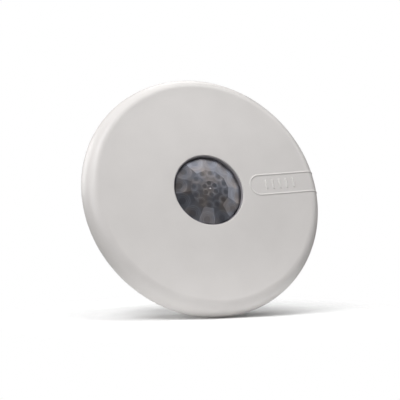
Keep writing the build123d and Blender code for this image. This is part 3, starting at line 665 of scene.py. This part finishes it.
def skin_angles():
    """The skin's columns in degrees: close over the tongue and round the lock screw, wide elsewhere."""
    lock = np.arange(LOCK_ANGLE - 4, LOCK_ANGLE + 4.1, 0.5)
    before, after = np.arange(14, LOCK_ANGLE - 5, WIDE_STEP), np.arange(LOCK_ANGLE + 6, 347, WIDE_STEP)
    return np.concatenate([np.arange(*TONGUE_COLUMNS), before, lock, after])


def tongue_relief(x, y):
    """Height of the bead round the tongue and of the short ribs inside it."""
    centre = TONGUE_START_X + TONGUE_HALF_W
    reach = np.hypot(np.minimum(x - centre, 0), y)
    height = BEAD_H * bump(reach - TONGUE_HALF_W, BEAD_SPREAD) * (x > 0)
    for index in range(RIB_COUNT):
        across = np.maximum(np.abs(x - RIB_FIRST_X - index * RIB_PITCH) - RIB_CORE[0], 0)
        along = np.maximum(np.abs(y) - RIB_CORE[1], 0)
        height = np.maximum(height, RIB_H * bump(np.hypot(across, along), RIB_SPREAD))
    return height


def lock_hole_patch(points, section, angles):
    """Rings of points that close in from a rectangle of the skin's grid to the lock screw's round hole."""
    rows = np.where((np.abs(section[:, 1] - LOCK_Z) < LOCK_PATCH[0]) & (section[:, 0] > SHOULDER_R))[0]
    columns = np.where(np.abs(angles - LOCK_ANGLE) < LOCK_PATCH[1])[0]
    top, bottom, left, right = rows[0], rows[-1], columns[0], columns[-1]
    loop = [(top, c) for c in range(left, right)] + [(r, right) for r in range(top, bottom)]
    loop += [(bottom, c) for c in range(right, left, -1)] + [(r, left) for r in range(bottom, top, -1)]
    turn = math.radians(LOCK_ANGLE)
    outward = np.array([math.cos(turn), math.sin(turn), 0])
    sideways = np.array([-math.sin(turn), math.cos(turn), 0])
    edge = np.array([points[r, c] for r, c in loop])
    flat = np.stack([edge @ sideways, edge[:, 2] - LOCK_Z], axis=1)
    rings = []
    for share in np.linspace(0, 1, 6):
        ring = flat * (1 - share) + unit(flat) * LOCK_HOLE_R * share
        height = ring[:, 1] + LOCK_Z
        reach = np.sqrt(shoulder_r(height) ** 2 - ring[:, 0] ** 2)
        upward = height[:, None] * np.array([0, 0, 1])
        rings.append(reach[:, None] * outward + ring[:, :1] * sideways + upward)
    rings = np.array(rings)
    radius = np.linalg.norm(rings[..., :2], axis=-1, keepdims=True)
    radial = (radius - SHOULDER_R) / SHOULDER_W ** 2
    axial = (rings[..., 2:] - SKIRT_TOP_Z) / SHOULDER_H ** 2
    normals = unit(np.concatenate([rings[..., :2] / radius * radial, axial], axis=-1))
    faces = grid_quads(len(rings), len(loop), wrap=True)
    hole = (slice(top, bottom), slice(left, right))
    return (rings, normals, faces), hole


def cover_skin():
    """The cover's outer skin, with its raised marks and the lock screw's hole."""
    section, angles = skin_section(), skin_angles()
    tangent = unit(np.gradient(section, axis=0))
    turn = np.radians(angles)[None, :]
    x, y = section[:, :1] * np.cos(turn), section[:, :1] * np.sin(turn)
    relief = tongue_relief(x, y)
    relief[-EDGE_ROWS - 1:] = 0
    radius, height = section[:, :1] - tangent[:, 1:] * relief, section[:, 1:] + tangent[:, :1] * relief
    points = turned(radius, turn, height)
    normals = grid_normals(points, wrap=True)
    quads = grid_quads(len(section), len(angles), wrap=True)
    patch, hole = lock_hole_patch(points, section, angles)
    keep = np.ones(quads.shape[:2], bool)
    keep[hole] = False
    return [(points, normals, quads[keep]), patch]


def cover_inside():
    """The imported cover's faces behind its outer skin: hollow, collar, bosses, lugs and ribs."""
    points, normals, faces = cad_mesh("front_cover")
    radius, height = np.hypot(points[:, 0], points[:, 1]), points[:, 2]
    tolerance = 0.03
    bulge = np.hypot((radius - SHOULDER_R) / SHOULDER_W, (height - SKIRT_TOP_Z) / SHOULDER_H)
    on_face = (radius <= SHOULDER_R) & (height > face_z(radius) - tolerance)
    on_lip = (radius < HOLE_R + LIP + tolerance) & (height > HOLE_PLANE_Z - LIP - tolerance)
    on_shoulder = (radius > SHOULDER_R) & (height >= SKIRT_TOP_Z) & (bulge > 1 - tolerance / SHOULDER_W)
    on_skirt = (radius > COVER_R - tolerance) & (height < SKIRT_TOP_Z)
    on_skin = on_face | on_lip | on_shoulder | on_skirt
    on_rim = height < RIM_Z + 0.01
    drop = on_skin[faces].all(axis=1) | on_rim[faces].all(axis=1)
    used = np.unique(faces[~drop])
    renumber = np.zeros(len(points), int)
    renumber[used] = np.arange(len(used))
    return points[used], normals[used], renumber[faces[~drop]]


def add_cover(material):
    cover = add_object("cover", cover_skin() + [cover_inside()], material)
    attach(cover, "cover")
    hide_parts("front_cover")


# --- Lens ---
def nearest(x, y, centre_r, degrees):
    """Distances from the nearest and the second nearest of a ring of small lenses' centres."""
    turns = np.radians(degrees)
    reach = np.hypot(x[..., None] - centre_r * np.cos(turns), y[..., None] - centre_r * np.sin(turns))
    reach = np.sort(reach, axis=-1)
    return reach[..., 0], reach[..., 1]


def ring_lines(reach, radii):
    """1 on the circles round a small lens's centre, 0 between them."""
    return np.max([bump(reach - radius, GROOVE_SPREAD) for radius in radii], axis=0)


def darkness(reach, radii):
    """1 at a small lens's centre, less outside each of its circles and 0 outside them all."""
    return np.mean([np.clip((radius - reach) / DISC_EDGE, 0, 1) for radius in radii], axis=0)


def facet_pattern(x, y, outer):
    """The lines and the discs of the small lenses, each from 0 to 1."""
    middles = np.arange(FACETS) * 360 / FACETS + 180 / FACETS
    if outer:
        reach = nearest(x, y, OUTER_LENS[0], middles)[0]
        return ring_lines(reach, OUTER_LENS[1]), darkness(reach, OUTER_LENS[1])
    inner = nearest(x, y, INNER_LENS[0], middles)[0]
    petal, other = nearest(x, y, CAP_LENS[0], np.arange(30, 390, 60))
    web = WEB_LEVEL * bump(other - petal, WEB_SPREAD) * (np.hypot(x, y) < WEB_R)
    lines = np.max([ring_lines(inner, INNER_LENS[1]), ring_lines(petal, CAP_LENS[1]), web], axis=0)
    return lines, np.maximum(darkness(inner, INNER_LENS[1]), darkness(petal, CAP_LENS[1]))


def lens_patch(first_angle, lower, upper, rows, columns, outer):
    """One facet between two polygon edges, with its grooves, and the tone of its points; the lighter tone
    along the grooves is a painted glint.
    """
    along, across = np.meshgrid(np.linspace(0, 1, rows), np.linspace(0, 1, columns), indexing="ij")
    turn = np.radians([first_angle, first_angle + 360 / FACETS])
    ends = [np.array([[r * math.cos(a), r * math.sin(a), z] for a in turn]) for r, z in (lower, upper)]
    edges = [end[0] * (1 - across[..., None]) + end[1] * across[..., None] for end in ends]
    points = edges[0] * (1 - along[..., None]) + edges[1] * along[..., None]
    lines, disc = facet_pattern(points[..., 0], points[..., 1], outer)
    fade = border_fade(along, FADE_ALONG)
    if outer:
        fade = fade * border_fade(across, FADE_ACROSS)
    points[..., 2] -= GROOVE_D * lines * fade
    tone = TONE_PLAIN + (TONE_DISC - TONE_PLAIN) * disc
    # The grooves' lines are painted lighter: a painted glint.
    tone = tone + (TONE_PAINTED_GLINT - tone) * lines
    return (points, -grid_normals(points), grid_quads(rows, columns)[:, :, ::-1]), tone


def border_fade(share, width):
    """0 at both ends of a share from 0 to 1, and 1 from width inwards."""
    return np.clip(np.minimum(share, 1 - share) / width, 0, 1)


def lens_dot():
    """The small raised dot in the middle of the cap."""
    rows, columns = 7, 24
    turns = np.linspace(0, math.tau, columns, endpoint=False)
    turn, share = np.meshgrid(turns, np.linspace(1, 0, rows), indexing="xy")
    points = turned(DOT_R * share, turn, LENS_CAP[1] - DOT_SINK + DOT_H * np.sqrt(1 - share ** 2))
    return points, unit(turned(share, turn, 1.5 - share)), grid_quads(rows, columns, wrap=True)[:, :, ::-1]


def lens_body():
    """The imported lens's faces other than its outer facets: inner surface, stem and flange."""
    points, normals, faces = cad_mesh("fresnel_lens")
    a, b, c = (points[faces[:, i]] for i in range(3))
    facing = unit(np.cross(b - a, c - a))[:, 2]
    height = (a + b + c)[:, 2] / 3
    keep = ~((facing > 0.2) & (height > LENS_BASE[1] + 0.01))
    return points, normals, faces[keep]


def add_lens(material):
    groups = [lens_body(), lens_dot()]
    tones = [np.full(len(groups[0][0]), TONE_PLAIN), np.full(groups[1][0].shape[:2], TONE_DOT)]
    for index in range(FACETS):
        for row in LENS_ROWS:
            patch, tone = lens_patch(index * 360 / FACETS, *row)
            groups.append(patch)
            tones.append(tone)
    lens = add_object("lens", groups, material, tones)
    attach(lens, "cover")
    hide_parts("fresnel_lens")


def revolved(profile, steps=96):
    """A turned skin from a closed outline of (radius, height) points that runs anticlockwise."""
    profile = np.asarray(profile, float)
    turn = np.linspace(0, math.tau, steps, endpoint=False)
    groups = []
    for start, end in zip(profile, np.roll(profile, -1, axis=0)):
        span = np.array([start, end])
        lean = unit(np.array([end[1] - start[1], start[0] - end[0]]))
        normal = turned(lean[0], turn, lean[1])
        faces = grid_quads(2, steps, wrap=True)[:, :, ::-1]
        groups.append((turned(span[:, :1], turn, span[:, 1:]), np.stack([normal, normal]), faces))
    return groups


def add_bezel():
    """The ring that lines the cover's hole round the lens, nearly upright inside, in plastic painted mid grey
    instead of black: painted light that lifts the shade in the recess.
    """
    outer, inner, low = HOLE_R - 0.05, LENS_BASE[0] + 0.15, -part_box("lens_bezel")[1].y / MM
    top = BEZEL_TOP_Z
    profile = [(inner, low), (outer, low), (outer, top - 0.2), (outer - 0.1, top - 0.05), (outer - 0.3, top),
               (outer - 0.4, top - 0.1), (inner + 0.05, LENS_BASE[1] + 0.3), (inner, LENS_BASE[1] + 0.1)]
    # Mid grey rather than black plastic: painted light for the shaded recess round the lens.
    material = moulded("bezel_painted_light_plastic", (0.33, 0.315, 0.34), 0.42, 0.25, 0.003)
    bezel = add_object("bezel", revolved(profile), material)
    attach(bezel, "cover")
    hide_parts("lens_bezel")


def lens_material():
    """Smoked plastic, darker in the small lenses' discs and lighter along their grooves as a painted glint,
    with a faint bloom.

    It is partly metallic, so that the facets reflect strongly and their tone shows in the reflections.
    """
    sockets = {"Metallic": 0.8, "IOR": 1.6, "Sheen_Weight": 0.3, "Sheen_Roughness": 0.4}
    material = principled("smoked_lens", (0.2, 0.2, 0.21), 0.32, **sockets)
    nodes, links = material.node_tree.nodes, material.node_tree.links
    tone = nodes.new("ShaderNodeAttribute")
    tone.attribute_name = "tone"
    # The upper stops, reached along the grooves, are a painted glint.
    stops = ((0.3, (0.07, 0.07, 0.075)), (0.5, (0.135, 0.135, 0.142)), (0.7, (0.36, 0.36, 0.378)),
             (1.0, (0.415, 0.415, 0.434)))
    bloom = ((0.4, (0.95, 0.99, 1.1)), (0.7, (1.1, 0.99, 0.92)))
    mix = nodes.new("ShaderNodeMix")
    mix.data_type, mix.blend_type = "RGBA", "MULTIPLY"
    mix.inputs[0].default_value = 1.0
    links.new(ramp(material, tone.outputs["Fac"], stops), mix.inputs[6])
    links.new(ramp(material, noise(material, 7.0, 1.0), bloom), mix.inputs[7])
    links.new(mix.outputs[2], nodes["Principled BSDF"].inputs["Base Color"])
    add_relief(material, noise(material, 0.4), 0.002)
    return material


# --- Details of the board and its parts ---
def finish_piece(piece, body):
    """Attaches a piece to the body that it moves with."""
    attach(piece, body)
    return piece


def add_tracks(library):
    """Copper tracks under the green mask, and the plated holes at their ends."""
    tracks, vias = [], []
    for count, width, pitch, path in ROUTES:
        for index in range(count):
            line = beside(path, (index - (count - 1) / 2) * pitch)
            tracks.append(track(line, width, BOARD_TOP, BOARD_TOP + TRACK_T))
            vias += [(x, y) for x, y in (line[0], line[-1])]
    masked = woven("masked_copper", (0.03, 0.2, 0.085), 0.3, 0.004)
    finish_piece(add_plates("board_tracks", tracks, [masked]), "base")
    rings = [hoop(circle(x, y, VIA_R[0], 12), circle(x, y, VIA_R[1], 12), BOARD_TOP, BOARD_TOP + PAD_T)
             for x, y in vias]
    finish_piece(add_plates("plated_holes", rings, [library["tinned_can"]]), "base")


def printed_box(points):
    """A printed rectangle round a part, with a dot at its first pin."""
    x, y, _ = middle(points)
    wide, tall, _ = np.ptp(points, axis=0) + 2 * PRINT_GAP
    outer, inner = rectangle(x, y, wide, tall), rectangle(x, y, wide - 2 * PRINT_W, tall - 2 * PRINT_W)
    dot = circle(x - wide / 2 - PIN_DOT[0], y + tall / 2 - PIN_DOT[1], PIN_DOT[2], 12)
    return [hoop(outer, inner, BOARD_TOP, BOARD_TOP + PRINT_T), slab(dot, BOARD_TOP, BOARD_TOP + PRINT_T)]


def printed_ring(points):
    """A printed circle round a part."""
    x, y, _ = middle(points)
    radius = np.ptp(points, axis=0)[0] / 2 + PRINT_GAP
    outer, inner = circle(x, y, radius, 40), circle(x, y, radius - PRINT_W, 40)
    return [hoop(outer, inner, BOARD_TOP, BOARD_TOP + PRINT_T)]


def add_board_print():
    """White printed outlines round the board's parts and along its edge."""
    plates = []
    for node in ("relays", "terminal_block_left", "terminal_block_right", "dip_switch_body", "trimmer_bodies",
                 "amplifier_chip", "microcontroller", "crystal_can", "rf_header"):
        for points in solids(node):
            plates += printed_box(points)
    for node in ("capacitors", "inductor"):
        for points in solids(node):
            plates += printed_ring(points)
    for start in range(-80, 250, EDGE_PRINT_STEP):
        turn = np.radians(np.linspace(start, start + EDGE_PRINT_SPAN, 16))
        path = np.stack([EDGE_PRINT_R * np.cos(turn), EDGE_PRINT_R * np.sin(turn)], axis=1)
        plates.append(track(path, PRINT_W, BOARD_TOP, BOARD_TOP + PRINT_T))
    ink = moulded("board_ink", (0.75, 0.75, 0.72), 0.6, 0.2, 0.004)
    finish_piece(add_plates("board_print", plates, [ink]), "base")


def add_chips(library):
    """The small resistors and capacitors: body, metal ends and solder pads."""
    plates, picks = [], []
    for index, points in enumerate(solids("chip_parts")):
        x, y, _ = middle(points)
        flat = np.unique(np.round(points[:, :2], 3), axis=0)
        along = np.linalg.eigh(np.cov((flat - (x, y)).T))[1][:, 1]
        degrees = math.degrees(math.atan2(along[1], along[0]))
        top = BOARD_TOP + CHIP_H + CHIP_H_STEP * (index % 3)
        plates.append(slab(rectangle(x, y, *CHIP_BODY, degrees), BOARD_TOP + CHIP_GAP, top))
        picks.append(index % 2)
        for side in (-1, 1):
            end = (x, y) + side * CHIP_END_X * along
            plates.append(slab(rectangle(*end, *CHIP_END, degrees), BOARD_TOP, top + 0.02))
            pad = (x, y) + side * CHIP_PAD_X * along
            plates.append(slab(rectangle(*pad, *CHIP_PAD, degrees), BOARD_TOP, BOARD_TOP + PAD_T))
            picks += [2, 2]
    materials = [library[name] for name in ("chip_ceramic", "chip_black", "tinned_can")]
    chips = add_plates("chips", plates, materials, picks)
    finish_piece(chips, "base")
    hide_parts("chip_parts")


def solder_pad(x, y, size, height):
    return slab(rectangle(x, y, *size), BOARD_TOP, BOARD_TOP + height)


def add_solder(library):
    """Solder pads at the feet of the shield can, the switch bank and the trimmers."""
    plates = []
    can = solids("rf_shield_can")[0]
    x, y, _ = middle(can)
    wide, tall, _ = np.ptp(can, axis=0)
    for side in (-1, 1):
        for step in (-1, 0, 1):
            across, up = step * CAN_PAD_PITCH[0], step * CAN_PAD_PITCH[1]
            plates.append(solder_pad(x + side * wide / 2, y + up, CAN_PAD, CAN_PAD_T))
            plates.append(solder_pad(x + across, y + side * tall / 2, CAN_PAD[::-1], CAN_PAD_T))
    x, y, _ = middle(solids("dip_switch_body")[0])
    for row in range(SWITCH_ROWS):
        for side in (-1, 1):
            foot = y + (row - (SWITCH_ROWS - 1) / 2) * SWITCH_PITCH
            plates.append(solder_pad(x + side * SWITCH_PAD_X, foot, SWITCH_PAD, LEG_PAD_T))
    for points in solids("trimmer_bodies"):
        x, y, _ = middle(points)
        plates += [solder_pad(x + a, y + b, TRIMMER_PAD, LEG_PAD_T) for a, b in TRIMMER_LEGS]
    finish_piece(add_plates("solder_pads", plates, [library["tinned_can"]]), "base")


def coil_path(x, y, low, high, radii, turns):
    """A helix between two heights with part of a turn lying flat at each end."""
    share = np.linspace(0, 1, int(turns * 24))
    climb = np.clip((share * turns - FLAT_TURN) / (turns - 2 * FLAT_TURN), 0, 1)
    radius = radii[0] + (radii[1] - radii[0]) * share
    turn = share * turns * math.tau
    return turned(radius, turn, low + (high - low) * climb) + (x, y, 0)


def add_spring(name, node, radii, turns, joint, material):
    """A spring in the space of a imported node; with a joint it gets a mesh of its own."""
    low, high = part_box(node)
    x, y = (low.x + high.x) / 2 / MM, (low.z + high.z) / 2 / MM
    path = coil_path(x, y, -high.y / MM + WIRE, -low.y / MM - WIRE, radii, turns)
    coil = add_object(name, [tube(path, WIRE)], material)
    finish_piece(coil, "base")
    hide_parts(node)
    if joint:
        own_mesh(coil)


def add_winding():
    """Enamelled wire wound on the inductor's core."""
    low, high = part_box("inductor")
    x, y = (low.x + high.x) / 2 / MM, (low.z + high.z) / 2 / MM
    bottom, top = (BOARD_TOP + height for height in WINDING_Z)
    path = coil_path(x, y, bottom, top, (WINDING_R, WINDING_R), WINDING_TURNS)
    enamel = metal("enamelled_wire", (0.72, 0.3, 0.12), 0.3, 0.2, 0.002)
    winding = add_object("inductor_winding", [tube(path, WIRE, 8)], enamel)
    finish_piece(winding, "base")


def repaint_parts(library):
    """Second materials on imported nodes: the chips' leads, the capacitors' tops and the board's cut edge."""
    tin = library["tinned_can"]
    for node, half in BODY_HALF.items():
        low, high = (middle(cad_mesh(node)[0])[:2] + side * np.add(half, 0.01) for side in (-1, 1))
        repaint(node, tin, lambda at, normals: ((at[:, :2] < low) | (at[:, :2] > high)).any(axis=1))
    top = -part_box("capacitors")[0].y / MM
    repaint("capacitors", tin, lambda at, normals: (at[:, 2] > top - 0.02) & (normals[:, 2] > 0.9))
    cut_edge = marked_plastic("laminate_edge", (0.36, 0.33, 0.16), 0.7, (0.44, 0.4, 0.22))
    repaint("main_pcb", cut_edge, lambda at, normals: np.abs(normals[:, 2]) < 0.5)


def add_details(library):
    add_tracks(library)
    add_board_print()
    add_chips(library)
    add_solder(library)
    add_winding()
    add_spring("plunger_spring", "tamper_spring", (1.9, 1.2), 3.5, "tamper_travel", library["steel"])
    add_spring("rear_plunger_spring", "rear_tamper_spring", (2.0, 2.0), 3.0, None, library["steel"])
    repaint_parts(library)


# --- Studio ---
def camera_axes():
    """Right, up and back of the camera in the row frame."""
    azimuth, elevation, roll = np.radians([CAMERA_AZIMUTH, CAMERA_ELEVATION, CAMERA_ROLL]).tolist()
    level = math.cos(elevation)
    back = Vector((math.sin(azimuth) * level, -math.cos(azimuth) * level, math.sin(elevation)))
    level_right = Vector((math.cos(azimuth), math.sin(azimuth), 0))
    level_up = back.cross(level_right)
    right = level_right * math.cos(roll) - level_up * math.sin(roll)
    up = level_up * math.cos(roll) + level_right * math.sin(roll)
    return right, up, back


def add_camera():
    right, up, back = camera_axes()
    data = bpy.data.cameras.new("camera")
    data.lens = LENS_MM
    data.sensor_width = 36.0
    data.clip_end = 10.0
    camera = bpy.data.objects.new("camera", data)
    bpy.context.scene.collection.objects.link(camera)
    turn = Matrix((right, up, back)).transposed().to_4x4()
    camera.matrix_world = Matrix.Translation(CAMERA_TARGET + back * CAMERA_DISTANCE) @ turn
    bpy.context.scene.camera = camera


def add_light(name, azimuth, elevation, power):
    """A square soft panel that looks at the device. Azimuth 0 is the camera's side and 90 its right."""
    right, up, back = camera_axes()
    turn, rise = math.radians(azimuth), math.radians(elevation)
    level = math.cos(rise)
    towards = right * math.sin(turn) * level + up * math.sin(rise) + back * math.cos(turn) * level
    data = bpy.data.lights.new(name, "AREA")
    data.shape = "SQUARE"
    data.size = PANEL_SIZE
    data.energy = power
    lamp = bpy.data.objects.new(name, data)
    bpy.context.scene.collection.objects.link(lamp)
    lamp.location = CAMERA_TARGET + towards * PANEL_DISTANCE
    lamp.rotation_mode = "QUATERNION"
    lamp.rotation_quaternion = towards.to_track_quat("Z", "Y")


def add_world():
    """A surround that is white behind the device and gives no light."""
    world = bpy.data.worlds.new("studio")
    bpy.context.scene.world = world
    world.use_nodes = True
    nodes, links = world.node_tree.nodes, world.node_tree.links
    nodes.clear()
    output, mix = nodes.new("ShaderNodeOutputWorld"), nodes.new("ShaderNodeMixShader")
    path = nodes.new("ShaderNodeLightPath")
    links.new(path.outputs["Is Camera Ray"], mix.inputs["Fac"])
    for slot, level in ((1, 0.0), (2, 1.0)):
        surround = nodes.new("ShaderNodeBackground")
        surround.inputs["Strength"].default_value = level
        links.new(surround.outputs[0], mix.inputs[slot])
        surround.inputs["Color"].default_value = (1, 1, 1, 1)
    links.new(mix.outputs[0], output.inputs["Surface"])


def add_ground():
    """A square of ground that takes the contact shadow; it isn't part of the device."""
    foot = GROUND_NORMAL * GROUND_OFFSET
    side = GROUND_NORMAL.cross(Vector((0, 1, 0))).normalized()
    along = GROUND_NORMAL.cross(side)
    mesh = bpy.data.meshes.new("ground")
    signs = ((-1, -1), (1, -1), (1, 1), (-1, 1))
    corners = [foot + (side * a + along * b) * GROUND_HALF for a, b in signs]
    mesh.from_pydata(corners, [], [(0, 1, 2, 3)])
    if mesh.polygons[0].normal.dot(GROUND_NORMAL) < 0:
        mesh.flip_normals()
    mesh.materials.append(ground_material())
    link_object("ground", mesh)


def contact_point():
    """Where the case's back rim rests on the ground."""
    down = Vector((-GROUND_NORMAL.x, 0, -GROUND_NORMAL.z)).normalized()
    return Vector((0, -RIM_Z, 0)) * MM + down * COVER_R * MM


def ground_material():
    """Matt white that fades into the white surround with the distance from the contact point."""
    material = principled("ground", (0.92, 0.92, 0.92), 0.8)
    nodes, links = material.node_tree.nodes, material.node_tree.links
    place, reach = nodes.new("ShaderNodeTexCoord"), nodes.new("ShaderNodeVectorMath")
    fade = nodes.new("ShaderNodeMapRange")
    reach.operation = "DISTANCE"
    reach.inputs[1].default_value = contact_point()
    fade.interpolation_type = "SMOOTHSTEP"
    fade.inputs["From Min"].default_value, fade.inputs["From Max"].default_value = GROUND_CLEAR, GROUND_GONE
    mix, clear = nodes.new("ShaderNodeMixShader"), nodes.new("ShaderNodeBsdfTransparent")
    links.new(place.outputs["Object"], reach.inputs[0])
    links.new(reach.outputs["Value"], fade.inputs["Value"])
    links.new(fade.outputs["Result"], mix.inputs["Fac"])
    links.new(nodes["Principled BSDF"].outputs[0], mix.inputs[1])
    links.new(clear.outputs[0], mix.inputs[2])
    links.new(mix.outputs[0], nodes["Material Output"].inputs["Surface"])
    return material


add_camera()
add_world()
add_ground()
for panel in PANELS:
    add_light(*panel)
bpy.context.scene.view_settings.view_transform = "Standard"
library = material_library()
finish_nodes(library)
add_cover(library["cover_shell"])
add_lens(library["smoked_lens"])
add_bezel()
add_details(library)
